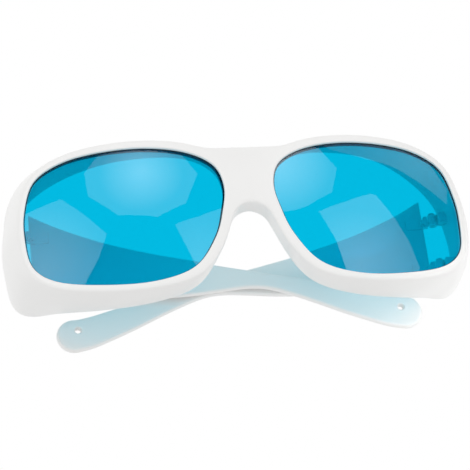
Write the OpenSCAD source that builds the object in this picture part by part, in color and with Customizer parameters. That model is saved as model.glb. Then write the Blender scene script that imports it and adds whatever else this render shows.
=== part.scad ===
// Laser safety glasses with a wrap-around front, two tinted filter lenses and two folding temples.
// Millimetres. X runs across the face (+X is the wearer's left), the front faces -Y and +Z is up.
// The middle of the front's width and of the folded depth is at x = 0 and y = 0, and the ends of
// the folded temples stand on z = 0. The pieces are drawn from the bridge's front at y = 0 and
// then placed.

/* [Lens openings] */
// Width of one lens opening
opening_w = 63; // [58:0.5:68]
// Height of one lens opening
opening_h = 48.2; // [44:0.2:52]
// Gap between the two lens openings at the bridge
opening_gap = 16; // [14:0.5:22]
// Radius that the front is wrapped around
wrap_radius = 195; // [160:1:320]

/* [Front frame] */
// Thickness of the walls behind the front
wall = 2; // [1.6:0.1:2.3]
// Depth of the frame's walls at the temples
side_depth = 28; // [24:0.2:34]
// Depth of the frame's walls at the nose
nose_depth = 8; // [7:0.2:12]
// How far the front lip stands before the lens
front_lip = 1; // [0.8:0.1:1.4]
// Depth that the lens groove is cut into the rim
groove_depth = 1.1; // [0.8:0.05:1.2]
// Thickness of the retaining lip behind the lens
rear_lip = 0.9; // [0.6:0.1:1.4]
// Radius of the front's soft outer edge
edge_round = 1; // [0.4:0.1:1.2]
// Height of the bridge's top above the middle of the openings
bridge_rise = 21.5; // [19:0.1:22.5]
// Height of the nose arch's crown above the middle of the openings
arch_rise = 2.2; // [-1:0.1:6]
// Depth of the bridge from front to back
bridge_depth = 7; // [5:0.5:8]

/* [Lenses] */
// Thickness of the filter lenses
lens_t = 2.2; // [1.8:0.1:2.8]
// Play of a lens in its groove
lens_play = 0.05; // [0.02:0.01:0.1]

/* [Temples] */
// Distance from the hinge pin to the end of the temple
temple_len = 130; // [118:1:150]
// Height of the temple at its hinge end
root_h = 30.4; // [26:0.2:32]
// Thickness of the temple at its hinge end
root_t = 3.5; // [3:0.1:4.5]
// Height of the temple at its waist
waist_h = 5.4; // [4.5:0.1:8]
// Thickness of the temple along its arm
arm_t = 2.8; // [2.4:0.1:3.4]
// Height of the paddle at the ear end
paddle_h = 11.4; // [9:0.2:13]
// Height of the hinge end's middle above the paddle's middle
tip_drop = 28; // [24:0.5:34]
// Height of the hinge end's middle above the middle of the openings
root_rise = 6.2; // [5:0.1:7]
// Radius of the neck cord's hole in the paddle
cord_hole_r = 1; // [0.8:0.1:1.5]
// How far the wearer's left temple stops short of square when folded, in degrees
left_short = 1.1; // [1:0.1:4]
// How far the wearer's right temple goes past square when folded, in degrees
right_past = 2.2; // [1.8:0.1:3]

/* [Hinges] */
// Distance of the hinge pins from the outer edge of the lens openings, toward the nose
pin_inset = 1.5; // [1.3:0.1:2]
// Distance of the hinge pins before the rear edge of the side walls
pin_set_in = 1.8; // [1.6:0.1:2.2]
// Distance between the middles of the upper and the lower hinge
hinge_spacing = 17.2; // [14:0.2:20]
// Height of a hinge's three barrels together
hinge_h = 3.9; // [3.3:0.1:4.5]
// Outer radius of the hinge barrels
barrel_r = 1.4; // [1.25:0.05:1.5]
// Radius of the hinge screw's shank
screw_r = 0.6; // [0.5:0.05:0.7]
// Running clearance between the screw and the temple's barrel
screw_play = 0.05; // [0.02:0.01:0.1]
// Length of the plate of the temple's hinge leaf
leaf_len = 6; // [5:0.1:6.5]
// Thickness of the hinge leaves
leaf_t = 0.9; // [0.7:0.05:1]
// Gap between the hinge pin and the end of the temple
root_gap = 2.8; // [2.6:0.1:3.2]
// Depth of the lugs that carry the front's hinge leaves
lug_depth = 2.2; // [1.6:0.1:2.6]

/* [Hidden] */
$fn = 48;

frame_white = [0.94, 0.94, 0.93];
filter_blue = [0.0, 0.68, 0.86, 0.6];
hinge_white = [0.93, 0.93, 0.92];
steel = [0.72, 0.73, 0.75];

// Distance of the wrapped front behind the bridge's front
function wrap_y(x) = wrap_radius - sqrt(wrap_radius * wrap_radius - x * x);

// Heights: the paddles stand on the ground and carry the rest
paddle_z = paddle_h / 2;
root_z = paddle_z + tip_drop;
opening_cz = root_z - root_rise;
bridge_top = opening_cz + bridge_rise;
arch_crown = opening_cz + arch_rise;
hinge_mid = root_z - 2.7;
hinge_high = hinge_mid + hinge_spacing / 2;
hinge_low = hinge_mid - hinge_spacing / 2;

// Middle of the +X lens opening, and the hinge pins beside its outer edge
opening_cx = (opening_gap + opening_w) / 2;
opening_side = opening_gap / 2 + opening_w;
pin_x = opening_side - pin_inset;
pin_y = wrap_y(opening_side) + side_depth - pin_set_in;

// Rows around the +X opening, from the side over the top to the nose and back along the bottom:
// [across and up from the middle, in half widths and half heights; width of the front band in mm;
// depth of the wall, 0 as at the nose and 1 as at the temples; the wall's flare outward at its
// rear edge and its outward bulge half way back, in mm]
rim_rows = [
    [1.00, -0.06, 2.3, 1.00, 2.3, 2.6],
    [0.98, 0.33, 2.3, 1.02, 2.5, 2.4],
    [0.87, 0.73, 2.4, 1.07, 3.6, 2.8],
    [0.59, 0.935, 2.6, 0.88, 4.2, 1.6],
    [0.21, 1.00, 2.8, 0.45, 2.3, 0.8],
    [-0.24, 0.98, 2.9, 0.28, 2.0, 0.4],
    [-0.65, 0.86, 3.3, 0.12, 1.2, 0.2],
    [-0.92, 0.635, 3.7, 0.02, -0.6, 0],
    [-1.00, 0.31, 3.8, 0.00, -1.4, 0],
    [-0.96, -0.03, 3.7, 0.02, -1.4, 0],
    [-0.86, -0.42, 3.5, 0.06, -1.2, 0.1],
    [-0.62, -0.84, 3.2, 0.05, -0.2, 0.2],
    [-0.21, -0.99, 2.4, 0.12, 0.3, 0.4],
    [0.27, -0.95, 2.4, 0.30, 0, 0.6],
    [0.71, -0.8, 2.4, 0.80, -2.6, 0.9],
    [0.945, -0.52, 2.2, 1.02, 2.2, 1.2]];
rim_steps = 4;

// Rows along a temple, from the hinge end: [share of the length; share of the way down to the
// paddle's middle; share of the root's and of the paddle's extra height over the waist]
arm_rows = [
    [0, 0, 1, 0],
    [0.07, 0.10, 0.81, 0],
    [0.18, 0.23, 0.60, 0],
    [0.29, 0.325, 0.44, 0],
    [0.40, 0.39, 0.29, 0],
    [0.50, 0.425, 0.12, 0],
    [0.56, 0.45, 0.03, 0],
    [0.615, 0.50, 0, 0],
    [0.70, 0.62, 0, 0.3],
    [0.81, 0.81, 0, 0.7],
    [0.93, 1, 0, 1]];
arm_steps = 4;
paddle_d = temple_len - paddle_h / 2;
// The cord hole sits a little above and before the paddle's middle
cord_hole_d = paddle_d - 1.4;
cord_hole_z = paddle_z + 1.6;

// The temple's inner face is this far behind the pin
inner_off = barrel_r + leaf_t - 0.1;
// The temple's leaf lies in a recess and stands this far proud of the inner face
leaf_proud = 0.1;
recess_play = 0.05;
groove_w = lens_t + 2 * lens_play;
// The temple's barrel stands between the two barrels of the front
barrel_gap = 0.05;
mid_barrel_h = hinge_h / 3;
// The front leaf's plate stands on the lug's rear face, and the lug starts this far beside the pin
plate_front = -leaf_t;
lug_start = barrel_r + 0.1;
screw_head_r = 1.1;
screw_head_h = 0.5;

// Smooth curve through a row's neighbours
function smooth(p, q, r, s, t) = 0.5 * ((2 * q) + (r - p) * t
    + (2 * p - 5 * q + 4 * r - s) * t * t + (3 * q - p - 3 * r + s) * t * t * t);
function rim_at(i, t) = let (n = len(rim_rows))
    smooth(rim_rows[(i + n - 1) % n], rim_rows[i % n], rim_rows[(i + 1) % n], rim_rows[(i + 2) % n], t);
rim = [for (i = [0:len(rim_rows) - 1], k = [0:rim_steps - 1]) rim_at(i, k / rim_steps)];
rim_n = len(rim);
function row(i) = rim[(i + rim_n) % rim_n];
function edge(i) = [opening_cx + row(i)[0] * opening_w / 2, opening_cz + row(i)[1] * opening_h / 2];
// Outward direction of the opening's edge
function outward(i) = let (d = edge(i + 1) - edge(i - 1)) [d[1], -d[0]] / norm(d);
// A point that lies out from the opening's edge and back from the wrapped front
function rim_point(i, out, back) = let (p = edge(i) + outward(i) * out) [p[0], wrap_y(p[0]) + back, p[1]];
// A point of the wall: share 0 at the front band and 1 at the rear edge, moved inward
function wall_point(i, share, inward) = let (r = row(i), p = edge(i),
        out = r[2] + r[4] * share + r[5] * 4 * share * (1 - share) - inward,
        q = p + outward(i) * out,
        depth = nose_depth + (side_depth - nose_depth) * r[3])
    [q[0], wrap_y(p[0]) + edge_round + (depth - edge_round) * share, q[1]];
function rim_section(i) = let (b = row(i)[2], back = front_lip + groove_w) [
    rim_point(i, 0.35, 0),
    rim_point(i, 0, 0.35),
    rim_point(i, 0, front_lip),
    rim_point(i, groove_depth, front_lip),
    rim_point(i, groove_depth, back),
    rim_point(i, 0.15, back),
    rim_point(i, 0.15, back + rear_lip),
    rim_point(i, max(b - wall, 0.3), back + rear_lip + 0.8),
    wall_point(i, 0.62, wall),
    wall_point(i, 1, wall),
    wall_point(i, 1, 0),
    wall_point(i, 0.7, 0),
    wall_point(i, 0.35, 0),
    wall_point(i, 0, 0),
    rim_point(i, b - 0.3 * edge_round, 0.3 * edge_round),
    rim_point(i, b - edge_round, 0)];

// A closed ring of sections
module ring(sections) {
    n = len(sections);
    m = len(sections[0]);
    polyhedron([for (s = sections) each s],
        [for (i = [0:n - 1], j = [0:m - 1]) let (k = (i + 1) % n, l = (j + 1) % m)
            each [[i * m + j, i * m + l, k * m + l], [i * m + j, k * m + l, k * m + j]]]);
}

// A rod of sections with flat ends
module rod(sections) {
    n = len(sections);
    m = len(sections[0]);
    polyhedron([for (s = sections) each s], concat(
        [[for (j = [0:m - 1]) j]],
        [for (i = [0:n - 2], j = [0:m - 1]) let (l = (j + 1) % m)
            each [[i * m + j, (i + 1) * m + j, (i + 1) * m + l], [i * m + j, (i + 1) * m + l, i * m + l]]],
        [[for (j = [m - 1:-1:0]) (n - 1) * m + j]]));
}

module both_sides() {
    children();
    mirror([1, 0, 0]) children();
}

// The wearer's left side as drawn, or mirrored for the right side
module side(left) {
    if (left) children();
    else mirror([1, 0, 0]) children();
}

// Half of the bridge's outline, seen from the front: the nose arch, then up inside the rim's nose
// side, and along the top
arch_r = opening_gap / 2 - 1.9;
bridge_half = concat(
    [for (a = [0:12:72]) [arch_r * sin(a), arch_crown - arch_r * (1 - cos(a))]],
    [for (i = [36:-1:28]) edge(i) + outward(i) * (groove_depth + 0.8)],
    [edge(26) + outward(26) * 2.6, [0, bridge_top]]);

module bridge() {
    front = 0.15;
    intersection() {
        translate([0, front + bridge_depth, 0]) rotate([90, 0, 0]) linear_extrude(bridge_depth + 2)
            polygon(concat(bridge_half,
                [for (i = [len(bridge_half) - 2:-1:1]) [-bridge_half[i][0], bridge_half[i][1]]]));
        translate([0, wrap_radius + front, -20]) cylinder(r = wrap_radius, h = 140, $fn = 180);
    }
}

// Number of the rim's section whose side wall passes the height z
function side_section(z) = let (
        gaps = [for (i = [-8:12]) abs(wall_point(i, 0.8, 0)[2] - z)],
        least = min(gaps))
    [for (i = [0:len(gaps) - 1]) if (gaps[i] == least) i - 8][0];

// Lug that reaches in from the side wall to a hinge's front leaf
module hinge_lug(z) {
    reach = wall_point(side_section(z), 0.9, wall / 2)[0] - pin_x - lug_start;
    translate([pin_x + lug_start, pin_y + plate_front - lug_depth, z - hinge_h / 2])
        cube([reach, lug_depth, hinge_h]);
}

module front_frame() {
    color(frame_white) union() {
        both_sides() ring([for (i = [0:rim_n - 1]) rim_section(i)]);
        bridge();
        both_sides() {
            hinge_lug(hinge_high);
            hinge_lug(hinge_low);
        }
    }
}

// A filter lens: the opening's outline grown into the groove, cut from a wrapped sheet
module lens() {
    lens_y = front_lip + lens_play;
    grown = groove_depth - 2 * lens_play;
    color(filter_blue) intersection() {
        translate([0, 40, 0]) rotate([90, 0, 0]) linear_extrude(60)
            polygon([for (i = [0:rim_n - 1]) edge(i) + outward(i) * grown]);
        difference() {
            translate([0, wrap_radius + lens_y, -20]) cylinder(r = wrap_radius, h = 120, $fn = 180);
            translate([0, wrap_radius + lens_y + lens_t, -21]) cylinder(r = wrap_radius, h = 122, $fn = 180);
        }
    }
}

// Turns a temple's drawing about its pin, from square across the back of the front
module at_pin(turn) {
    translate([pin_x, pin_y, 0]) rotate([0, 0, turn]) children();
}

function arm_at(i, t) = let (n = len(arm_rows) - 1)
    smooth(arm_rows[max(i - 1, 0)], arm_rows[i], arm_rows[min(i + 1, n)], arm_rows[min(i + 2, n)], t);
function thick(d) = arm_t + (root_t - arm_t) * pow(max(0, 1 - d / 60), 2);
// One section of a temple, with its corners cut
function arm_section(d, middle, height) = let (
        t = thick(d), c = min(0.9, height / 5), y = inner_off,
        low = middle - height / 2, top = middle + height / 2) [
    [-d, y, low + c], [-d, y, top - c], [-d, y + 0.25 * c, top - 0.25 * c], [-d, y + c, top],
    [-d, y + t - c, top], [-d, y + t - 0.25 * c, top - 0.25 * c], [-d, y + t, top - c], [-d, y + t, low + c],
    [-d, y + t - 0.25 * c, low + 0.25 * c], [-d, y + t - c, low], [-d, y + c, low],
    [-d, y + 0.25 * c, low + 0.25 * c]];
arm_sections = [for (i = [0:len(arm_rows) - 2], k = [0:arm_steps - 1])
    let (r = arm_at(i, k / arm_steps))
        arm_section(root_gap + r[0] * (temple_len - root_gap), root_z - r[1] * tip_drop,
            waist_h + r[2] * (root_h - waist_h) + r[3] * (paddle_h - waist_h))];
// The paddle's round end, from its middle outward
paddle_sections = [for (a = [-12, 0, 15, 30, 44, 56, 67, 76, 83])
    arm_section(paddle_d + paddle_h / 2 * sin(a), paddle_z, paddle_h * cos(max(a, 0)))];

module temple(turn) {
    color(frame_white) at_pin(turn) difference() {
        rod(concat(arm_sections, paddle_sections));
        translate([-cord_hole_d, inner_off - 1, cord_hole_z]) rotate([-90, 0, 0])
            cylinder(r = cord_hole_r, h = arm_t + 2);
        leaf_recess(hinge_high);
        leaf_recess(hinge_low);
    }
}

// Recess for a hinge's leaf in the temple's inner face, open at the hinge end
module leaf_recess(z) {
    translate([-root_gap - leaf_len - recess_play, inner_off - 1, z - hinge_h / 2 - recess_play])
        cube([leaf_len + recess_play + 1, 1 + leaf_t - leaf_proud, hinge_h + 2 * recess_play]);
}

// The front's leaf: a plate on the lug's rear face, and the two outer barrels
module front_leaf(z) {
    low = z - hinge_h / 2;
    outer_h = mid_barrel_h - barrel_gap;
    plate_end = wall_point(side_section(z), 0.96, wall + 0.3)[0] - pin_x - 0.1;
    color(hinge_white) translate([pin_x, pin_y, 0]) difference() {
        union() {
            for (base = [low, z + hinge_h / 2 - outer_h]) {
                translate([0, 0, base]) cylinder(r = barrel_r, h = outer_h);
                translate([0, plate_front, base]) cube([lug_start + 0.1, leaf_t, outer_h]);
            }
            translate([lug_start, plate_front, low]) cube([plate_end - lug_start, leaf_t, hinge_h]);
        }
        translate([0, 0, low - 1]) cylinder(r = screw_r + 0.02, h = hinge_h + 2);
    }
}

// The temple's leaf: the middle barrel, an arm that widens to a bar beside the barrels, and a
// plate in the temple's recess
module temple_leaf(z, turn) {
    web_y = 0.2;
    bar_end = -barrel_r - 0.15;
    color(hinge_white) at_pin(turn) difference() {
        union() {
            translate([0, 0, z - mid_barrel_h / 2]) cylinder(r = barrel_r, h = mid_barrel_h);
            translate([-root_gap - 1, web_y, z - mid_barrel_h / 2])
                cube([root_gap, inner_off + 0.1 - web_y, mid_barrel_h]);
            translate([-root_gap, web_y, z - hinge_h / 2])
                cube([root_gap + bar_end, inner_off - 0.3 - web_y, hinge_h]);
            translate([-root_gap - leaf_len, inner_off - leaf_proud, z - hinge_h / 2])
                cube([leaf_len, leaf_t, hinge_h]);
        }
        translate([0, 0, z - hinge_h]) cylinder(r = screw_r + screw_play, h = 2 * hinge_h);
    }
}

module hinge_screw(z) {
    color(steel) translate([pin_x, pin_y, z - hinge_h / 2]) difference() {
        union() {
            cylinder(r = screw_r, h = hinge_h);
            translate([0, 0, hinge_h]) cylinder(r = screw_head_r, h = screw_head_h);
        }
        translate([-screw_head_r - 1, -0.15, hinge_h + screw_head_h - 0.25])
            cube([2 * screw_head_r + 2, 0.3, 1]);
    }
}

// Puts the middle of the folded depth at y = 0
folded_depth = pin_y + (inner_off + arm_t) * cos(left_short) + temple_len * sin(left_short);
module placed() {
    translate([0, -folded_depth / 2, 0]) children();
}

placed() front_frame();
placed() lens();  // lens_left
placed() side(false) lens();  // lens_right
placed() temple(-left_short);  // temple_left
placed() side(false) temple(right_past);  // temple_right
placed() front_leaf(hinge_high);  // front_leaf_upper_left
placed() front_leaf(hinge_low);  // front_leaf_lower_left
placed() side(false) front_leaf(hinge_high);  // front_leaf_upper_right
placed() side(false) front_leaf(hinge_low);  // front_leaf_lower_right
placed() temple_leaf(hinge_high, -left_short);  // temple_leaf_upper_left
placed() temple_leaf(hinge_low, -left_short);  // temple_leaf_lower_left
placed() side(false) temple_leaf(hinge_high, right_past);  // temple_leaf_upper_right
placed() side(false) temple_leaf(hinge_low, right_past);  // temple_leaf_lower_right
placed() hinge_screw(hinge_high);  // hinge_screw_upper_left
placed() hinge_screw(hinge_low);  // hinge_screw_lower_left
placed() side(false) hinge_screw(hinge_high);  // hinge_screw_upper_right
placed() side(false) hinge_screw(hinge_low);  // hinge_screw_lower_right
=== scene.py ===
# Laser safety glasses: moulded white front, two filter lenses, folding temples on paired hinges
import bpy
import bmesh
from math import cos, pi, radians, sin, sqrt
from mathutils import Matrix, Vector


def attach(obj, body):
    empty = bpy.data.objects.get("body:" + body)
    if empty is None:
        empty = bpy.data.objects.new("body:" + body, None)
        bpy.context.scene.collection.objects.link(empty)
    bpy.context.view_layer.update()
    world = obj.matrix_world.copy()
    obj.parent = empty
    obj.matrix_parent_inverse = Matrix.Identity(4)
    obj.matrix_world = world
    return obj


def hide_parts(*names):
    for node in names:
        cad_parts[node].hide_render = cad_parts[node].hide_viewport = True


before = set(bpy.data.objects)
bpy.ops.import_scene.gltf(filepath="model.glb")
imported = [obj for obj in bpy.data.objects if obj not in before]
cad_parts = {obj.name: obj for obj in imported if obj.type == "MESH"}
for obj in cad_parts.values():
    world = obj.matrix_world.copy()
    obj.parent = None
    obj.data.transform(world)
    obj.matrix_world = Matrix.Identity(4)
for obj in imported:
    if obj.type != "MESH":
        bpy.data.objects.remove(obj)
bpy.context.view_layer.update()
scene = bpy.context.scene

# ---------------------------------------------------------------- sizes, in millimetres as drawn
OPENING_W, OPENING_H = 63.0, 48.2
OPENING_CX, OPENING_CZ = 39.5, 27.5
WRAP_RADIUS = 195.0
WALL = 2.0
SIDE_DEPTH, NOSE_DEPTH = 28.0, 8.0
EDGE_ROUND = 1.0
BRIDGE_REAR = 7.15
LENS_REACH, LENS_T, LENS_FRONT, LENS_BEVEL = 1.0, 2.2, 1.05, 0.18
# Width of the dark band round each lens's rim: painted shade of the lens groove, over the dark of
# the filter's thick edge
GROOVE_SHADE_RING = 0.42
PIN_X, PIN_Y = 69.5, 39.585
HINGE_HEIGHTS = (39.6, 22.4)
HINGE_H, LEAF_LEN, LEAF_T = 3.9, 6.0, 0.9
LUG_DEPTH, LUG_START, LUG_BEVEL = 2.2, 1.5, 0.2
LEAF_PROUD, RECESS_PLAY = 0.1, 0.05
TEMPLE_LEN, ROOT_GAP, ROOT_Z = 130.0, 2.8, 33.7
ROOT_H, WAIST_H, PADDLE_H = 30.4, 5.4, 11.4
TIP_DROP, PADDLE_Z = 28.0, 5.7
ROOT_T, ARM_T, ROOT_TAPER = 3.5, 2.8, 60
INNER_OFF = 2.2
ARM_CORNER = 0.9
PADDLE_D = TEMPLE_LEN - PADDLE_H / 2
HOLE_D, HOLE_Z, HOLE_R = 122.9, 7.3, 1.0
LEFT_TURN, RIGHT_TURN = -1.1, 2.2
# The drawing's zero depth is the bridge's front; the model's is the middle of the folded depth
HALF_FOLDED = 23.5399
TO_MODEL = Matrix.Scale(0.001, 4) @ Matrix.Translation((0, -HALF_FOLDED, 0))

# Around one lens opening, from the hinge side over the top to the nose and back underneath:
# across, up, width of the front band, depth share, flare to the rear, bulge of the wall
RIM_ROWS = [
    (1.00, -0.06, 2.3, 1.00, 2.3, 2.6), (0.98, 0.33, 2.3, 1.02, 2.5, 2.4),
    (0.87, 0.73, 2.4, 1.07, 3.6, 2.8), (0.59, 0.935, 2.6, 0.88, 4.2, 1.6),
    (0.21, 1.00, 2.8, 0.45, 2.3, 0.8), (-0.24, 0.98, 2.9, 0.28, 2.0, 0.4),
    (-0.65, 0.86, 3.3, 0.12, 1.2, 0.2), (-0.92, 0.635, 3.7, 0.02, -0.6, 0),
    (-1.00, 0.31, 3.8, 0.00, -1.4, 0), (-0.96, -0.03, 3.7, 0.02, -1.4, 0),
    (-0.86, -0.42, 3.5, 0.06, -1.2, 0.1), (-0.62, -0.84, 3.2, 0.05, -0.2, 0.2),
    (-0.21, -0.99, 2.4, 0.12, 0.3, 0.4), (0.27, -0.95, 2.4, 0.30, 0, 0.6),
    (0.71, -0.8, 2.4, 0.80, -2.6, 0.9), (0.945, -0.52, 2.2, 1.02, 2.2, 1.2)]
# Stations drawn from each row to the next: on the front, whose bridge counts them, and on a lens
RIM_STEPS, LENS_STEPS = 4, 8
# The bridge's outline from the rim's top over the middle to the nose arch, by rim station
BRIDGE_LINE = {
    25: (14.6, 50.0), 26: (11.6, 49.25), 27: (8.0, 49.02), 28: (4.0, 49.0), 29: (0, 49.0),
    30: (0, 47.6), 31: (0, 44.2), 32: (0, 40.2), 33: (0, 36.0), 34: (0, 30.3), 35: (0, 28.9),
    36: (2.6, 28.3), 37: (4.9, 26.7), 38: (6.25, 24.1), 39: (7.5, 20.6)}
BRIDGE_START, BRIDGE_END = 25, 39
BEFORE_BRIDGE, AFTER_BRIDGE = (17.9, 51.3), (9.1, 16.2)
# Its corners in the middle plane, at the top and at the nose arch's crown
TOP_CORNER, ARCH_CORNER = 29, 35

# The rim's section from the front band into the lens groove: out from the edge, back from the front
GROOVE_PROFILE = (
    (0.9, 0), (0.4, 0), (0.1, 0.1), (0, 0.4), (0, 0.9), (0.05, 1), (1.05, 1), (1.1, 1.1),
    (1.1, 3.2), (1.05, 3.3), (0.2, 3.3), (0.15, 3.4), (0.15, 4.1), (0.2, 4.2))
BAND_INNER, BAND_OUTER = 0.9, 0.95
LINING_DEPTH, LINING_LEAST = 5, 0.3
# Points across the wall's rear edge, inward from the outside, and the front crease's points
REAR_INNER, REAR_MIDDLE, REAR_OUTER = 1.75, 1.0, 0.25
REAR_SHARE = 0.985
CREASE_POINTS = ((0.1, 0.45), (0.4, 0.12), (BAND_OUTER, 0))
CREASE_START = CREASE_POINTS[0][0]
BRIDGE_REAR_INSET = 0.6

# Along a temple: how far along, how far down, share of the root's height, share of the paddle's
ARM_ROWS = [
    (0, 0, 1, 0), (0.07, 0.10, 0.81, 0), (0.18, 0.23, 0.60, 0), (0.29, 0.325, 0.44, 0),
    (0.40, 0.39, 0.29, 0), (0.50, 0.425, 0.12, 0), (0.56, 0.45, 0.03, 0), (0.615, 0.50, 0, 0),
    (0.70, 0.62, 0, 0.3), (0.81, 0.81, 0, 0.7), (0.93, 1, 0, 1)]
ARM_STEPS = 4
# Round the paddle's end, in degrees past its middle
PADDLE_ANGLES = (-12, 0, 15, 30, 44, 56, 67, 76, 84)
# Through the paddle: depth from the inner face, radius of the countersunk cord hole
HOLE_PROFILE = (
    (-0.6, 2.0), (0.0, 1.4), (0.25, 1.12), (0.5, HOLE_R), (ARM_T - 0.5, HOLE_R),
    (ARM_T - 0.25, 1.12), (ARM_T, 1.4), (ARM_T + 0.6, 2.0))
HOLE_SIDES = 48


# ---------------------------------------------------------------- drawing helpers
def smooth_row(p, q, r, s, t):
    """A row between q and r on a smooth curve through their neighbours."""
    return [0.5 * (2 * b + (c - a) * t + (2 * a - 5 * b + 4 * c - d) * t * t
                   + (3 * b - a - 3 * c + d) * t ** 3) for a, b, c, d in zip(p, q, r, s)]


def wrap_y(x):
    """Depth of the wrapped front at the distance x from the middle."""
    return WRAP_RADIUS - sqrt(WRAP_RADIUS ** 2 - x * x)


class Rim:
    """The opening's edge at even steps, with the outward direction at each station."""

    def __init__(self, steps):
        n = len(RIM_ROWS)
        self.rows = [smooth_row(RIM_ROWS[i - 1], RIM_ROWS[i], RIM_ROWS[(i + 1) % n],
                                RIM_ROWS[(i + 2) % n], k / steps)
                     for i in range(n) for k in range(steps)]
        self.count = len(self.rows)
        self.edge = [Vector((OPENING_CX + r[0] * OPENING_W / 2, OPENING_CZ + r[1] * OPENING_H / 2))
                     for r in self.rows]
        self.outward = []
        for i in range(self.count):
            d = self.edge[(i + 1) % self.count] - self.edge[i - 1]
            self.outward.append(Vector((d.y, -d.x)).normalized())

    def point(self, i, out, back):
        """Out from the opening's edge, and back from the wrapped front."""
        p = self.edge[i] + self.outward[i] * out
        return Vector((p.x, wrap_y(p.x) + back, p.y))

    def wall(self, i, share, inward):
        """On the wall: share 0 at the front band and 1 at the rear edge, moved inward."""
        r = self.rows[i]
        p = self.edge[i]
        q = p + self.outward[i] * (r[2] + r[4] * share + r[5] * 4 * share * (1 - share) - inward)
        depth = NOSE_DEPTH + (SIDE_DEPTH - NOSE_DEPTH) * r[3]
        return Vector((q.x, wrap_y(p.x) + EDGE_ROUND + (depth - EDGE_ROUND) * share, q.y))


def draw_loops(bm, loops, close=False):
    """Draws the first loop as a circle of vertices, then extrudes it loop by loop."""
    first = bmesh.ops.create_circle(bm, segments=len(loops[0]), radius=1)["verts"]
    ring = first
    for v, p in zip(ring, loops[0]):
        v.co = p
    for loop in loops[1:] + (loops[:1] if close else []):
        edges = [bm.edges.get((ring[i - 1], ring[i])) for i in range(len(ring))]
        made = bmesh.ops.extrude_edge_only(bm, edges=edges)["geom"]
        fresh = {g for g in made if isinstance(g, bmesh.types.BMVert)}
        ring = [next(e.other_vert(v) for e in v.link_edges if e.other_vert(v) in fresh)
                for v in ring]
        for v, p in zip(ring, loop):
            v.co = p
    if close:
        bmesh.ops.remove_doubles(bm, verts=bm.verts[:], dist=1e-5)
    return first, ring


def draw_box(bm, low, high):
    """A box between two opposite corners."""
    low, high = Vector(low), Vector(high)
    verts = bmesh.ops.create_cube(bm, size=1)["verts"]
    size = Vector(abs(c) for c in high - low)
    bmesh.ops.transform(bm, verts=verts,
                        matrix=Matrix.Translation((high + low) / 2) @ Matrix.Diagonal((*size, 1)))


def whole(bm):
    """All of a drawing, as the operators take it."""
    return bm.verts[:] + bm.edges[:] + bm.faces[:]


def place_drawing(bm, matrix):
    """Moves a drawing and turns its faces outward, also where the move mirrors it."""
    bmesh.ops.transform(bm, matrix=matrix, verts=bm.verts[:])
    bmesh.ops.recalc_face_normals(bm, faces=bm.faces[:])


def make_object(name, bm):
    """Turns a drawing into an object in the scene."""
    mesh = bpy.data.meshes.new(name)
    bm.to_mesh(mesh)
    bm.free()
    thing = bpy.data.objects.new(name, mesh)
    scene.collection.objects.link(thing)
    return thing


def finish_piece(name, bm, body, node, material, matrix=TO_MODEL, levels=0, sharp=None):
    """Turns a drawing into an object in the model's frame, riding on its body."""
    place_drawing(bm, matrix)
    piece = make_object(name, bm)
    piece.data.shade_smooth()
    if sharp:
        piece.data.set_sharp_from_angle(angle=radians(sharp))
    piece.data.materials.append(material)
    if levels:
        sub = piece.modifiers.new("smooth_form", "SUBSURF")
        sub.levels = sub.render_levels = levels
    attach(piece, body)
    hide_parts(node)
    return piece


# ---------------------------------------------------------------- finishes
def add(tree, kind, **settings):
    """A new node with its settings."""
    node = tree.nodes.new(kind)
    for key, value in settings.items():
        setattr(node, key, value)
    return node


def wire(tree, start, end):
    """Joins an output to an input."""
    tree.links.new(start, end)


def part_of(sockets, identifier):
    """A Mix node's socket, whose plain name stands for several."""
    return next(s for s in sockets if s.identifier == identifier)


def new_material(name):
    """A material with its node tree and its main shader."""
    material = bpy.data.materials.new(name)
    material.use_nodes = True
    return material, material.node_tree, material.node_tree.nodes["Principled BSDF"]


def either(tree, first, second):
    """One where either of two masks is one."""
    node = add(tree, "ShaderNodeMath", operation="MAXIMUM")
    wire(tree, first, node.inputs[0])
    wire(tree, second, node.inputs[1])
    return node.outputs[0]


def clear_where(tree, shader, mask, tint):
    """The surface's shader, but clear with a tint where the mask is one."""
    clear = add(tree, "ShaderNodeBsdfTransparent")
    clear.inputs["Color"].default_value = tint
    both = add(tree, "ShaderNodeMixShader")
    wire(tree, mask, both.inputs["Fac"])
    wire(tree, shader.outputs["BSDF"], both.inputs[1])
    wire(tree, clear.outputs["BSDF"], both.inputs[2])
    wire(tree, both.outputs["Shader"], tree.nodes["Material Output"].inputs["Surface"])


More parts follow.
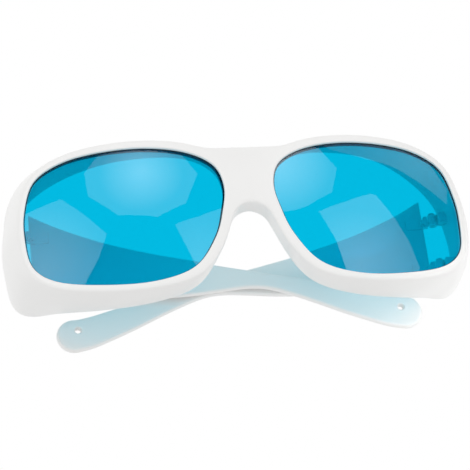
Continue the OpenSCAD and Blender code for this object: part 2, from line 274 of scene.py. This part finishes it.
def moulding_group():
    """Faint mottle and fine grain of moulded plastic: colour, roughness and height."""
    tree = bpy.data.node_groups.new("moulding_grain", "ShaderNodeTree")
    for name, kind in (("Light Tone", "NodeSocketColor"), ("Deep Tone", "NodeSocketColor"),
                       ("Mottle Scale", "NodeSocketFloat"), ("Grain Scale", "NodeSocketFloat"),
                       ("Roughness Low", "NodeSocketFloat"), ("Roughness High", "NodeSocketFloat")):
        tree.interface.new_socket(name, in_out="INPUT", socket_type=kind)
    for name, kind in (("Color", "NodeSocketColor"), ("Roughness", "NodeSocketFloat"),
                       ("Height", "NodeSocketFloat")):
        tree.interface.new_socket(name, in_out="OUTPUT", socket_type=kind)
    start, end = add(tree, "NodeGroupInput"), add(tree, "NodeGroupOutput")
    place = add(tree, "ShaderNodeTexCoord")
    mottle = add(tree, "ShaderNodeTexNoise")
    mottle.inputs["Detail"].default_value = 3
    wire(tree, place.outputs["Object"], mottle.inputs["Vector"])
    wire(tree, start.outputs["Mottle Scale"], mottle.inputs["Scale"])
    grain = add(tree, "ShaderNodeTexNoise")
    grain.inputs["Detail"].default_value = 2
    wire(tree, place.outputs["Object"], grain.inputs["Vector"])
    wire(tree, start.outputs["Grain Scale"], grain.inputs["Scale"])
    tone = add(tree, "ShaderNodeMix", data_type="RGBA")
    wire(tree, mottle.outputs["Fac"], part_of(tone.inputs, "Factor_Float"))
    wire(tree, start.outputs["Deep Tone"], part_of(tone.inputs, "A_Color"))
    wire(tree, start.outputs["Light Tone"], part_of(tone.inputs, "B_Color"))
    rough = add(tree, "ShaderNodeMapRange")
    wire(tree, mottle.outputs["Fac"], rough.inputs["Value"])
    wire(tree, start.outputs["Roughness Low"], rough.inputs["To Min"])
    wire(tree, start.outputs["Roughness High"], rough.inputs["To Max"])
    wire(tree, part_of(tone.outputs, "Result_Color"), end.inputs["Color"])
    wire(tree, rough.outputs["Result"], end.inputs["Roughness"])
    wire(tree, grain.outputs["Fac"], end.inputs["Height"])
    return tree


def plastic_finish(name, light, deep, rough_low, rough_high, bump):
    """Satin moulded plastic."""
    material, tree, shader = new_material(name)
    shader.inputs["IOR"].default_value = 1.49
    grain = add(tree, "ShaderNodeGroup", node_tree=MOULDING)
    grain.inputs["Light Tone"].default_value = (*light, 1)
    grain.inputs["Deep Tone"].default_value = (*deep, 1)
    grain.inputs["Mottle Scale"].default_value = 55
    grain.inputs["Grain Scale"].default_value = 2600
    grain.inputs["Roughness Low"].default_value = rough_low
    grain.inputs["Roughness High"].default_value = rough_high
    relief = add(tree, "ShaderNodeBump")
    relief.inputs["Strength"].default_value = bump
    relief.inputs["Distance"].default_value = 0.00004
    wire(tree, grain.outputs["Color"], shader.inputs["Base Color"])
    wire(tree, grain.outputs["Roughness"], shader.inputs["Roughness"])
    wire(tree, grain.outputs["Height"], relief.inputs["Height"])
    wire(tree, relief.outputs["Normal"], shader.inputs["Normal"])
    return material


def steel_finish():
    """Brushed steel: fine lines round the hinge screws."""
    material, tree, shader = new_material("brushed_hinge_steel")
    shader.inputs["Metallic"].default_value = 1.0
    place = add(tree, "ShaderNodeTexCoord")
    lines = add(tree, "ShaderNodeMapping")
    lines.inputs["Scale"].default_value = (900, 900, 9000)
    wire(tree, place.outputs["Object"], lines.inputs["Vector"])
    brush = add(tree, "ShaderNodeTexNoise")
    brush.inputs["Scale"].default_value = 1.0
    brush.inputs["Detail"].default_value = 4
    wire(tree, lines.outputs["Vector"], brush.inputs["Vector"])
    tone = add(tree, "ShaderNodeValToRGB")
    tone.color_ramp.elements[0].color = (0.42, 0.43, 0.45, 1)
    tone.color_ramp.elements[1].color = (0.68, 0.69, 0.70, 1)
    wire(tree, brush.outputs["Fac"], tone.inputs["Fac"])
    rough = add(tree, "ShaderNodeMapRange")
    rough.inputs["To Min"].default_value = 0.24
    rough.inputs["To Max"].default_value = 0.42
    wire(tree, brush.outputs["Fac"], rough.inputs["Value"])
    relief = add(tree, "ShaderNodeBump")
    relief.inputs["Strength"].default_value = 0.25
    relief.inputs["Distance"].default_value = 0.00002
    wire(tree, brush.outputs["Fac"], relief.inputs["Height"])
    wire(tree, tone.outputs["Color"], shader.inputs["Base Color"])
    wire(tree, rough.outputs["Result"], shader.inputs["Roughness"])
    wire(tree, relief.outputs["Normal"], shader.inputs["Normal"])
    return material


def filter_finish(name, light, deep):
    """Polished filter; light that only passes through keeps the tint without a dark shadow."""
    material, tree, shader = new_material(name)
    shader.inputs["Transmission Weight"].default_value = 1.0
    shader.inputs["IOR"].default_value = 1.5
    place = add(tree, "ShaderNodeTexCoord")
    cloud = add(tree, "ShaderNodeTexNoise")
    cloud.inputs["Scale"].default_value = 16
    cloud.inputs["Detail"].default_value = 1
    wire(tree, place.outputs["Object"], cloud.inputs["Vector"])
    tint = add(tree, "ShaderNodeMix", data_type="RGBA")
    part_of(tint.inputs, "A_Color").default_value = (*deep, 1)
    part_of(tint.inputs, "B_Color").default_value = (*light, 1)
    wire(tree, cloud.outputs["Fac"], part_of(tint.inputs, "Factor_Float"))
    wire(tree, part_of(tint.outputs, "Result_Color"), shader.inputs["Base Color"])
    polish = add(tree, "ShaderNodeMapRange")
    polish.inputs["To Min"].default_value = 0.0
    polish.inputs["To Max"].default_value = 0.008
    wire(tree, cloud.outputs["Fac"], polish.inputs["Value"])
    wire(tree, polish.outputs["Result"], shader.inputs["Roughness"])
    path = add(tree, "ShaderNodeLightPath")
    passing = either(tree, path.outputs["Is Shadow Ray"], path.outputs["Is Diffuse Ray"])
    clear_where(tree, shader, passing, (0.40, 0.79, 0.88, 1))
    return material


MOULDING = moulding_group()
front_white = plastic_finish("moulded_front_white", light=(0.87, 0.868, 0.86),
                             deep=(0.84, 0.838, 0.83), rough_low=0.26, rough_high=0.34, bump=0.10)
temple_white = plastic_finish("moulded_temple_white", light=(0.86, 0.858, 0.85),
                              deep=(0.83, 0.828, 0.82), rough_low=0.30, rough_high=0.38, bump=0.14)
hinge_white = plastic_finish("moulded_hinge_white", light=(0.86, 0.858, 0.85),
                             deep=(0.83, 0.828, 0.82), rough_low=0.30, rough_high=0.36, bump=0.12)
steel = steel_finish()
blue_filter = filter_finish("blue_filter", light=(0.0, 0.525, 0.80), deep=(0.0, 0.505, 0.785))
# Near-black filter for the lens's rim band: painted shade of the groove, with the dark of the
# filter's thick edge
groove_shade_filter = filter_finish("groove_shade_filter", light=(0.001, 0.03, 0.055), deep=(0.0, 0.02, 0.04))


# ---------------------------------------------------------------- the moulded front
def front_section():
    """Once round the rim's section: from the front edge through the lens groove, along the
    lining to the rear edge, back along the outside, and over the front crease."""
    return ([("front", out, back) for out, back in GROOVE_PROFILE]
            + [("lining", 0, 0)]
            + [("wall", share, WALL) for share in (0.35, 0.62, 0.85)]
            + [("wall", REAR_SHARE, WALL - 0.05)]
            + [("rear", 1, inward) for inward in (REAR_INNER, REAR_MIDDLE, REAR_OUTER)]
            + [("outer", share, 0) for share in (REAR_SHARE, 0.8, 0.6, 0.4, 0.2, 0.04)]
            + [("crease", inward, back) for inward, back in CREASE_POINTS]
            + [("across", 0.67, 0), ("across", 0.33, 0)])


def front_point(rim, i, kind, a, b):
    """A point of the section at an ordinary station of the rim."""
    band = rim.rows[i][2]
    if kind == "front":
        return rim.point(i, a, b)
    if kind == "lining":
        return rim.point(i, max(band - WALL, LINING_LEAST), LINING_DEPTH)
    if kind in ("wall", "rear", "outer"):
        return rim.wall(i, a, b)
    if kind == "crease":
        return rim.point(i, band - a, b)
    return rim.point(i, BAND_INNER + (band - BAND_OUTER - BAND_INNER) * a, 0)


def bridge_inward(i):
    """The direction from the bridge's outline into the moulding, at a station of the rim."""
    if i == TOP_CORNER:
        return Vector((1, -1))
    if i == ARCH_CORNER:
        return Vector((1, 1))
    if TOP_CORNER < i < ARCH_CORNER:
        return Vector((1, 0))
    before = Vector(BRIDGE_LINE[i - 1] if i > BRIDGE_START else BEFORE_BRIDGE)
    after = Vector(BRIDGE_LINE[i + 1] if i < BRIDGE_END else AFTER_BRIDGE)
    d = after - before
    return Vector((-d.y, d.x)).normalized()


def bridge_point(rim, i, kind, a, b):
    """A point of the section where the rim runs into the bridge."""
    if kind in ("front", "lining", "wall"):
        return front_point(rim, i, kind, a, b)
    c = Vector(BRIDGE_LINE[i])
    inward = bridge_inward(i)
    middle = TOP_CORNER < i < ARCH_CORNER
    if kind == "outer":
        p = c
        y = wrap_y(p.x) + EDGE_ROUND + (BRIDGE_REAR - EDGE_ROUND - wrap_y(p.x)) * a
        if a == REAR_SHARE and middle:
            y = BRIDGE_REAR
    elif kind == "rear":
        near = front_point(rim, i, "rear", 1, REAR_INNER)
        if b == REAR_INNER:
            return near
        far = c + inward * BRIDGE_REAR_INSET
        share = 0.5 if b == REAR_MIDDLE else 1.0
        p = Vector((near.x, near.z)).lerp(far, share)
        y = near.y + (BRIDGE_REAR - near.y) * share
    elif kind == "crease":
        if middle:
            p, y = c + inward * (0 if a == CREASE_START else a), 0
        else:
            p, y = c + inward * a, b
            if i in (TOP_CORNER, ARCH_CORNER) and a == CREASE_START:
                p.x = 0
        y += wrap_y(p.x)
    else:
        start = rim.edge[i] + rim.outward[i] * BAND_INNER
        p = start.lerp(c + inward * BAND_OUTER, a)
        y = wrap_y(p.x)
    return Vector((p.x, y, p.y))


def front_frame():
    """The moulded front: one half drawn round its lens opening, then mirrored."""
    rim = Rim(RIM_STEPS)
    bm = bmesh.new()
    loops = [[(bridge_point if i in BRIDGE_LINE else front_point)(rim, i, kind, a, b)
              for i in range(rim.count)] for kind, a, b in front_section()]
    draw_loops(bm, loops, close=True)
    # The half's cut faces lie in the middle plane and go before the halves are joined
    cut = [f for f in bm.faces if all(abs(v.co.x) < 1e-4 for v in f.verts)]
    bmesh.ops.delete(bm, geom=cut, context="FACES")
    bmesh.ops.mirror(bm, geom=whole(bm), matrix=Matrix.Identity(4), merge_dist=1e-4, axis="X")
    bmesh.ops.remove_doubles(bm, verts=bm.verts[:], dist=1e-5)
    finish_piece("front_moulding", bm, "front", "front_frame", front_white,
                 levels=2)


def hinge_lugs():
    """The moulded lugs that reach in from the side walls and carry the front leaves."""
    rim = Rim(RIM_STEPS)
    bm = bmesh.new()
    side_stations = range(-2 * RIM_STEPS, 3 * RIM_STEPS + 1)
    for side in (1, -1):
        for height in HINGE_HEIGHTS:
            nearest = min(side_stations, key=lambda i: abs(rim.wall(i, 0.9, 0).z - height))
            reach = rim.wall(nearest, 0.9, WALL / 2).x
            draw_box(bm,
                     (side * (PIN_X + LUG_START), PIN_Y - LEAF_T - LUG_DEPTH, height - HINGE_H / 2),
                     (side * reach, PIN_Y - LEAF_T, height + HINGE_H / 2))
    bmesh.ops.bevel(bm, geom=bm.edges[:], offset=LUG_BEVEL, segments=3, affect="EDGES",
                    profile=0.5, material=-1)
    finish_piece("hinge_lugs", bm, "front", "front_frame", front_white, sharp=40)


# ---------------------------------------------------------------- the filter lenses
def is_corner(edge):
    """Whether an edge lies between a lens's face and its rim."""
    if len(edge.link_faces) != 2:
        return False
    first, second = (abs(f.normal.y) for f in edge.link_faces)
    return first < 0.5 < second or second < 0.5 < first


def filter_lens(name, node, side):
    """The opening's outline grown into the groove, with a dark band of painted groove shade round
    its rim, cut into strips and wrapped.
    """
    rim = Rim(LENS_STEPS)
    bm = bmesh.new()
    outline = bmesh.ops.create_circle(bm, segments=rim.count, radius=1, cap_ends=True)["verts"]
    for i, v in enumerate(outline):
        p = rim.edge[i] + rim.outward[i] * LENS_REACH
        v.co = (p.x, 0, p.y)
    bm.normal_update()
    # The inset ring round the outline, and the edge faces drawn from it, take the near-black
    # finish: painted groove shade
    ring = bmesh.ops.inset_region(bm, faces=bm.faces[:], thickness=LENS_REACH + GROOVE_SHADE_RING,
                                  use_even_offset=True, use_boundary=True)["faces"]
    for f in ring:
        f.material_index = 1
    for x in range(6, 74):
        bmesh.ops.bisect_plane(bm, geom=whole(bm), dist=1e-4, plane_co=(x, 0, 0),
                               plane_no=(1, 0, 0))
    for z in range(5, 55, 5):
        bmesh.ops.bisect_plane(bm, geom=whole(bm), dist=1e-4, plane_co=(0, 0, z),
                               plane_no=(0, 0, 1))
    made = bmesh.ops.extrude_face_region(bm, geom=bm.faces[:])["geom"]
    rear = {g for g in made if isinstance(g, bmesh.types.BMVert)}
    bm.normal_update()
    corners = [e for e in bm.edges if is_corner(e)]
    for v in bm.verts:
        v.co.y = LENS_T if v in rear else 0
    bmesh.ops.bevel(bm, geom=corners, offset=LENS_BEVEL, segments=2, affect="EDGES", profile=0.5,
                    material=-1)
    for v in bm.verts:
        v.co.y += LENS_FRONT + wrap_y(v.co.x)
    if side < 0:
        bmesh.ops.scale(bm, vec=(-1, 1, 1), verts=bm.verts[:])
    piece = finish_piece(name, bm, "front", node, blue_filter, sharp=12)
    # Second finish: the rim band's painted groove shade
    piece.data.materials.append(groove_shade_filter)


# ---------------------------------------------------------------- the temples
def arm_section(d, middle, height, shrink=0.0):
    """One section across a temple: flat faces with rounded corners, all round."""
    t = ARM_T + (ROOT_T - ARM_T) * max(0, 1 - d / ROOT_TAPER) ** 2
    c = min(ARM_CORNER, height / 5)
    return section_points(d, middle, t, ((height / 2 - c, 0), (height / 2 - 0.25 * c, 0.25 * c),
                                         (height / 2, c)), shrink)


def section_points(d, middle, t, corner, shrink=0.0):
    """All four corners of a section from one, given as height from the middle and depth."""
    up = [(y, h) for h, y in corner]
    ring = ([(y, middle - h) for y, h in up[:1]] + [(y, middle + h) for y, h in up]
            + [(t - y, middle + h) for y, h in reversed(up)] + [(t - y, middle - h) for y, h in up]
            + [(y, middle - h) for y, h in reversed(up[1:])])
    points = []
    for y, z in ring:
        y = t / 2 + (y - t / 2) * (1 - shrink / (t / 2))
        z = middle + (z - middle) * (1 - shrink / max(abs(z - middle), 1.0))
        points.append(Vector((-d, INNER_OFF + y, z)))
    return points


def paddle_section(s):
    """A section of the round paddle at the distance s past its middle, with a rounded rim."""
    radius = PADDLE_H / 2
    flat = radius - ARM_CORNER

    def inset(r):
        return ARM_CORNER - sqrt(max(0, ARM_CORNER ** 2 - (r - flat) ** 2)) if r > flat else 0

    corner = []
    for r, least in ((flat, 0.12), (flat + 0.64, 0.24), (radius, 0.36)):
        r = max(r, s)
        corner.append((max(least, sqrt(max(0, r * r - s * s))), min(inset(r), ARM_T / 2 - 0.2)))
    return section_points(PADDLE_D + s, PADDLE_Z, ARM_T, corner)


def temple_sections():
    """A temple's sections from the rounded hinge end along the arm and round the paddle."""
    loops = [arm_section(ROOT_GAP, ROOT_Z, ROOT_H, shrink=0.45),
             arm_section(ROOT_GAP + 0.12, ROOT_Z, ROOT_H, shrink=0.12),
             arm_section(ROOT_GAP + 0.5, ROOT_Z - 0.1, ROOT_H - 0.3)]
    n = len(ARM_ROWS) - 1
    for i in range(n):
        around = [ARM_ROWS[min(max(j, 0), n)] for j in range(i - 1, i + 3)]
        for k in range(1 if i == 0 else 0, ARM_STEPS):
            along, drop, root, paddle = smooth_row(*around, k / ARM_STEPS)
            height = WAIST_H + root * (ROOT_H - WAIST_H) + paddle * (PADDLE_H - WAIST_H)
            loops.append(arm_section(ROOT_GAP + along * (TEMPLE_LEN - ROOT_GAP),
                                     ROOT_Z - drop * TIP_DROP, height))
    return loops + [paddle_section(PADDLE_H / 2 * sin(radians(a))) for a in PADDLE_ANGLES]


def temple(name, node, body, side, turn):
    """One temple, folded to its turn, with the cord hole and the leaves' recesses cut in."""
    bm = bmesh.new()
    for ends in draw_loops(bm, temple_sections()):
        bmesh.ops.contextual_create(bm, geom=ends)
    place = TO_MODEL @ (Matrix.Diagonal((side, 1, 1, 1)) @ Matrix.Translation((PIN_X, PIN_Y, 0))
                        @ Matrix.Rotation(radians(turn), 4, "Z"))
    arm = finish_piece(name, bm, body, node, temple_white, matrix=place,
                       levels=2)
    cutter = temple_cutter(place)
    cut = arm.modifiers.new("hole_and_recesses", "BOOLEAN")
    cut.operation, cut.solver, cut.object = "DIFFERENCE", "EXACT", cutter
    bpy.context.view_layer.update()
    drilled = bpy.data.meshes.new_from_object(
        arm.evaluated_get(bpy.context.evaluated_depsgraph_get()))
    arm.modifiers.clear()
    arm.data = drilled
    drilled.name = name
    drilled.set_sharp_from_angle(angle=radians(34))
    bpy.data.objects.remove(cutter)


def temple_cutter(matrix):
    """A round drill with a countersink at each face of the paddle, and the leaves' recesses."""
    bm = bmesh.new()
    turns = [2 * pi * k / HOLE_SIDES for k in range(HOLE_SIDES)]
    loops = [[Vector((-HOLE_D + r * cos(t), INNER_OFF + y, HOLE_Z + r * sin(t))) for t in turns]
             for y, r in HOLE_PROFILE]
    for ends in draw_loops(bm, loops):
        bmesh.ops.contextual_create(bm, geom=ends)
    half = HINGE_H / 2 + RECESS_PLAY
    for height in HINGE_HEIGHTS:
        draw_box(bm, (-ROOT_GAP - LEAF_LEN - RECESS_PLAY, INNER_OFF - 1, height - half),
                 (-ROOT_GAP + 1, INNER_OFF + LEAF_T - LEAF_PROUD, height + half))
    place_drawing(bm, matrix)
    return make_object("temple_cutter", bm)


front_frame()
hinge_lugs()
filter_lens("filter_left", "lens_left", 1)
filter_lens("filter_right", "lens_right", -1)
temple("arm_left", "temple_left", "temple_l", 1, LEFT_TURN)
temple("arm_right", "temple_right", "temple_r", -1, RIGHT_TURN)
for node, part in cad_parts.items():
    if "leaf" in node or "screw" in node:
        part.data.materials.clear()
        part.data.materials.append(steel if "screw" in node else hinge_white)


# ---------------------------------------------------------------- floor, light and camera
# The point that the camera looks at, in millimetres, and its distance from there
AIM_X, AIM_Z, CAMERA_DISTANCE = -6.677, 17, 650
# From a reflection's place on the lens to the card that it shows, in millimetres
CARD_DISTANCE = 350
FLOOR_HALF = 3
OBJECT_MIDDLE = (0, 0, 0.03)


def floor_material():
    """Matt and pale from above, and open from below and to soft light and shadow rays."""
    material, tree, shader = new_material("pale_floor")
    shader.inputs["Roughness"].default_value = 0.9
    shader.inputs["Specular IOR Level"].default_value = 0.1
    place = add(tree, "ShaderNodeTexCoord")
    cloud = add(tree, "ShaderNodeTexNoise")
    cloud.inputs["Scale"].default_value = 6
    wire(tree, place.outputs["Object"], cloud.inputs["Vector"])
    tone = add(tree, "ShaderNodeMix", data_type="RGBA")
    part_of(tone.inputs, "A_Color").default_value = (0.855, 0.855, 0.855, 1)
    part_of(tone.inputs, "B_Color").default_value = (0.865, 0.865, 0.865, 1)
    wire(tree, cloud.outputs["Fac"], part_of(tone.inputs, "Factor_Float"))
    wire(tree, part_of(tone.outputs, "Result_Color"), shader.inputs["Base Color"])
    side = add(tree, "ShaderNodeNewGeometry")
    path = add(tree, "ShaderNodeLightPath")
    soft = either(tree, path.outputs["Is Diffuse Ray"], path.outputs["Is Shadow Ray"])
    away = either(tree, side.outputs["Backfacing"], soft)
    clear_where(tree, shader, away, (1, 1, 1, 1))
    return material


def floor():
    """Pale floor under the glasses, open from below, where the camera looks from, and open
    to soft light, so that the glasses are lit from all round as on a white table."""
    bm = bmesh.new()
    bmesh.ops.create_grid(bm, x_segments=1, y_segments=1, size=FLOOR_HALF)
    ground = make_object("pale_floor", bm)
    ground.data.materials.append(floor_material())


def card_point(spot, way):
    """A point of a light card: from its place on the lens along the reflection's way."""
    return TO_MODEL @ (Vector(spot) + Vector((0, 0, AIM_Z))
                       + Vector(way).normalized() * CARD_DISTANCE)


def card_material(name, brightest, reach, strengths):
    """Light that is strongest at one place of the card and falls off evenly round it."""
    material = bpy.data.materials.new(name)
    material.use_nodes = True
    tree = material.node_tree
    tree.nodes.clear()
    place = add(tree, "ShaderNodeTexCoord")
    away = add(tree, "ShaderNodeVectorMath", operation="SUBTRACT")
    wire(tree, place.outputs["Object"], away.inputs[0])
    away.inputs[1].default_value = card_point(*brightest)
    scaled = add(tree, "ShaderNodeVectorMath", operation="MULTIPLY")
    wire(tree, away.outputs["Vector"], scaled.inputs[0])
    scaled.inputs[1].default_value = (1000 / reach[0], 0, 1000 / reach[1])
    far = add(tree, "ShaderNodeVectorMath", operation="LENGTH")
    wire(tree, scaled.outputs["Vector"], far.inputs[0])
    strength = add(tree, "ShaderNodeMapRange")
    strength.inputs["To Min"].default_value = strengths[0]
    strength.inputs["To Max"].default_value = strengths[1]
    wire(tree, far.outputs["Value"], strength.inputs["Value"])
    light = add(tree, "ShaderNodeEmission")
    wire(tree, strength.outputs["Result"], light.inputs["Strength"])
    out = add(tree, "ShaderNodeOutputMaterial")
    wire(tree, light.outputs["Emission"], out.inputs["Surface"])
    return material


def light_card(name, corners, brightest, reach, strengths):
    """A lit card that only shows as a reflection in the lenses."""
    bm = bmesh.new()
    ring = bmesh.ops.create_circle(bm, segments=len(corners), radius=1, cap_ends=True)["verts"]
    for v, (spot, way) in zip(ring, corners):
        v.co = card_point(spot, way)
    card = make_object(name, bm)
    card.data.materials.append(card_material(name, brightest, reach, strengths))
    card.visible_camera = card.visible_diffuse = card.visible_transmission = False
    card.visible_shadow = card.visible_volume_scatter = False


def lamp(name, spot, aim, size, power, spread=180):
    """A soft lamp; its own reflection is left to the cards."""
    data = bpy.data.lights.new(name, "AREA")
    data.shape, data.size, data.energy, data.spread = "DISK", size, power, radians(spread)
    thing = bpy.data.objects.new(name, data)
    thing.location = spot
    thing.rotation_mode = "QUATERNION"
    thing.rotation_quaternion = (Vector(aim) - Vector(spot)).to_track_quat("-Z", "Y")
    thing.visible_glossy = thing.visible_transmission = thing.visible_camera = False
    scene.collection.objects.link(thing)


def studio_world():
    """White behind the object; even soft light; reflections pale behind and dark in front."""
    world = bpy.data.worlds.new("studio")
    scene.world = world
    world.use_nodes = True
    tree = world.node_tree
    tree.nodes.clear()
    path = add(tree, "ShaderNodeLightPath")
    seen = either(tree, path.outputs["Is Camera Ray"], path.outputs["Is Transmission Ray"])
    place = add(tree, "ShaderNodeTexCoord")
    parts = add(tree, "ShaderNodeSeparateXYZ")
    wire(tree, place.outputs["Generated"], parts.inputs["Vector"])
    behind = add(tree, "ShaderNodeMapRange")
    behind.inputs["From Min"].default_value = -0.25
    behind.inputs["From Max"].default_value = 0.35
    behind.inputs["To Min"].default_value = 0.02
    behind.inputs["To Max"].default_value = 1.0
    wire(tree, parts.outputs["Y"], behind.inputs["Value"])
    height = add(tree, "ShaderNodeMapRange")
    height.inputs["From Min"].default_value = -1.0
    height.inputs["From Max"].default_value = 0.4
    height.inputs["To Min"].default_value = 0.86
    height.inputs["To Max"].default_value = 0.93
    wire(tree, parts.outputs["Z"], height.inputs["Value"])
    soft = add(tree, "ShaderNodeMix", data_type="FLOAT")
    wire(tree, path.outputs["Is Glossy Ray"], part_of(soft.inputs, "Factor_Float"))
    wire(tree, height.outputs["Result"], part_of(soft.inputs, "A_Float"))
    wire(tree, behind.outputs["Result"], part_of(soft.inputs, "B_Float"))
    level = add(tree, "ShaderNodeMix", data_type="FLOAT")
    wire(tree, seen, part_of(level.inputs, "Factor_Float"))
    wire(tree, part_of(soft.outputs, "Result_Float"), part_of(level.inputs, "A_Float"))
    part_of(level.inputs, "B_Float").default_value = 1.0
    back = add(tree, "ShaderNodeBackground")
    back.inputs["Color"].default_value = (1, 1, 1, 1)
    wire(tree, part_of(level.outputs, "Result_Float"), back.inputs["Strength"])
    out = add(tree, "ShaderNodeOutputWorld")
    wire(tree, back.outputs["Background"], out.inputs["Surface"])


def camera():
    """Below the glasses and a little to the wearer's right, looking up at them."""
    turn, rise, roll = radians(11.612), radians(27), radians(7.482)
    ahead = Vector((sin(turn) * cos(rise), cos(turn) * cos(rise), sin(rise)))
    level = Vector((cos(turn), -sin(turn), 0))
    upward = level.cross(ahead)
    right = cos(roll) * level - sin(roll) * upward
    top = sin(roll) * level + cos(roll) * upward
    spot = Vector((AIM_X, -HALF_FOLDED, AIM_Z)) - ahead * CAMERA_DISTANCE
    data = bpy.data.cameras.new("camera")
    data.sensor_width, data.lens = 36, 159.32
    data.clip_start, data.clip_end = 0.01, 20
    thing = bpy.data.objects.new("camera", data)
    thing.matrix_world = Matrix((
        (right.x, top.x, -ahead.x, spot.x / 1000), (right.y, top.y, -ahead.y, spot.y / 1000),
        (right.z, top.z, -ahead.z, spot.z / 1000), (0, 0, 0, 1)))
    scene.collection.objects.link(thing)
    scene.camera = thing


floor()
studio_world()
camera()
lamp("key", spot=(-0.45, -0.9, 0.65), aim=OBJECT_MIDDLE, size=0.9, power=1.76)
lamp("fill", spot=(0.7, -0.7, 0.3), aim=OBJECT_MIDDLE, size=0.8, power=0.66)
lamp("back", spot=(0.1, 0.9, 0.6), aim=OBJECT_MIDDLE, size=0.9, power=0.35)
lamp("table_glow", spot=(0.30, -0.50, -0.32), aim=(0.066, 0.02, 0), size=0.05, power=0.003,
     spread=6)
# Where each card's corner shows on a lens, and the way the reflection leaves there; then the same
# for its brightest place, how far the glow reaches across and up in mm, and its two strengths
light_card("octagon_left", [
    ((-46.2, 6.6, 33.7), (-0.294, -0.818, 0.494)), ((-51.1, 7.9, 28.3), (-0.344, -0.803, 0.487)),
    ((-50.5, 7.7, 19.9), (-0.341, -0.81, 0.477)), ((-41.9, 5.6, 11.4), (-0.255, -0.846, 0.468)),
    ((-29.7, 3.3, 9.1), (-0.126, -0.876, 0.466)), ((-20.5, 2.1, 13.1), (-0.029, -0.882, 0.47)),
    ((-15.8, 1.7, 23.2), (0.021, -0.876, 0.482)), ((-20, 2.1, 30.5), (-0.022, -0.871, 0.49))],
    brightest=((-33.2, 3.9, 24.4), (-0.162, -0.86, 0.484)), reach=(61, 19), strengths=(4.2, 1.1))
light_card("octagon_right", [
    ((24.8, 2.6, 31.9), (0.426, -0.764, 0.486)), ((30.2, 3.4, 24.7), (0.477, -0.739, 0.476)),
    ((27.2, 3, 15.7), (0.453, -0.76, 0.466)), ((18.4, 1.9, 10.4), (0.372, -0.805, 0.462)),
    ((14.3, 1.6, 8.9), (0.332, -0.823, 0.461)), ((10.2, 1.3, 8.2), (0.292, -0.838, 0.461)),
    ((5.8, 1.1, 14.1), (0.246, -0.848, 0.469)), ((6.0, 1.1, 30.9), (0.245, -0.838, 0.488))],
    brightest=((8.6, 1.2, 26.1), (0.273, -0.833, 0.482)), reach=(87, 27), strengths=(4.7, 1.0))
light_card("window_left", [
    ((-58.9, 10.1, 20.3), (-0.423, -0.77, 0.477)), ((-52.3, 8.2, 13.5), (-0.36, -0.806, 0.47)),
    ((-45.9, 6.5, 5.4), (-0.297, -0.837, 0.461)), ((-49, 7.3, -2.5), (-0.331, -0.829, 0.451)),
    ((-54.3, 8.8, -11.2), (-0.387, -0.811, 0.439)), ((-62, 11.2, -16.6), (-0.465, -0.773, 0.432)),
    ((-73.9, 15.6, -13.9), (-0.576, -0.693, 0.433)), ((-78.1, 17.4, -3.8), (-0.609, -0.657, 0.445)),
    ((-75.7, 16.3, 15.1), (-0.58, -0.667, 0.468))],
    brightest=((-65.7, 12.4, -5.1), (-0.497, -0.745, 0.446)), reach=(92, 34), strengths=(3.0, 1.1))
light_card("window_middle", [
    ((-24.7, 2.6, 5.9), (-0.074, -0.884, 0.462)), ((-16.7, 1.8, 8.1), (0.013, -0.886, 0.464)),
    ((-8.8, 1.2, 10.6), (0.096, -0.879, 0.466)), ((-11.7, 1.4, -4.3), (0.065, -0.891, 0.448)),
    ((-19.7, 2.1, -8.9), (-0.021, -0.896, 0.443))],
    brightest=((-16.9, 1.8, -8.1), (0.01, -0.896, 0.444)), reach=(66, 23), strengths=(1.9, 1.1))
light_card("window_right", [
    ((40.5, 5.3, 15.8), (0.569, -0.68, 0.463)), ((42.2, 5.7, 15.4), (0.583, -0.668, 0.462)),
    ((47.3, 6.9, 7.9), (0.627, -0.635, 0.451)), ((51.2, 7.9, -0.4), (0.66, -0.609, 0.44)),
    ((53.4, 8.5, -9.9), (0.681, -0.595, 0.428)), ((48.5, 7.2, -18.2), (0.647, -0.637, 0.419)),
    ((39.5, 5.1, -20.9), (0.575, -0.703, 0.418)), ((29.6, 3.3, -19.9), (0.487, -0.765, 0.422)),
    ((28.5, 3.1, -14.4), (0.474, -0.769, 0.429)), ((26, 2.8, -1.7), (0.448, -0.775, 0.446)),
    ((21.8, 2.3, 8.5), (0.405, -0.791, 0.459)), ((31.1, 3.5, 12.4), (0.489, -0.74, 0.461))],
    brightest=((31.9, 3.7, -11.4), (0.505, -0.747, 0.432)), reach=(80, 30), strengths=(3.0, 1.3))
light_card("faint_band_right", [
    ((25, 2.7, 33.8), (0.428, -0.761, 0.488)), ((39.8, 5.2, 35.9), (0.555, -0.675, 0.486)),
    ((53.7, 8.6, 33.6), (0.663, -0.575, 0.479)), ((64, 11.8, 29.5), (0.733, -0.491, 0.471)),
    ((68.7, 13.6, 20.8), (0.766, -0.45, 0.459)), ((67.7, 13.2, 15), (0.763, -0.462, 0.453)),
    ((59.3, 10.3, 21.6), (0.707, -0.534, 0.463)), ((50.7, 7.8, 26.5), (0.644, -0.602, 0.472)),
    ((38.8, 4.9, 29), (0.549, -0.685, 0.479)), ((28.8, 3.2, 31.3), (0.462, -0.743, 0.484))],
    brightest=((60.5, 10.7, 30.8), (0.711, -0.52, 0.473)), reach=(90, 30), strengths=(1.3, 0.5))

scene.view_settings.view_transform = "Standard"
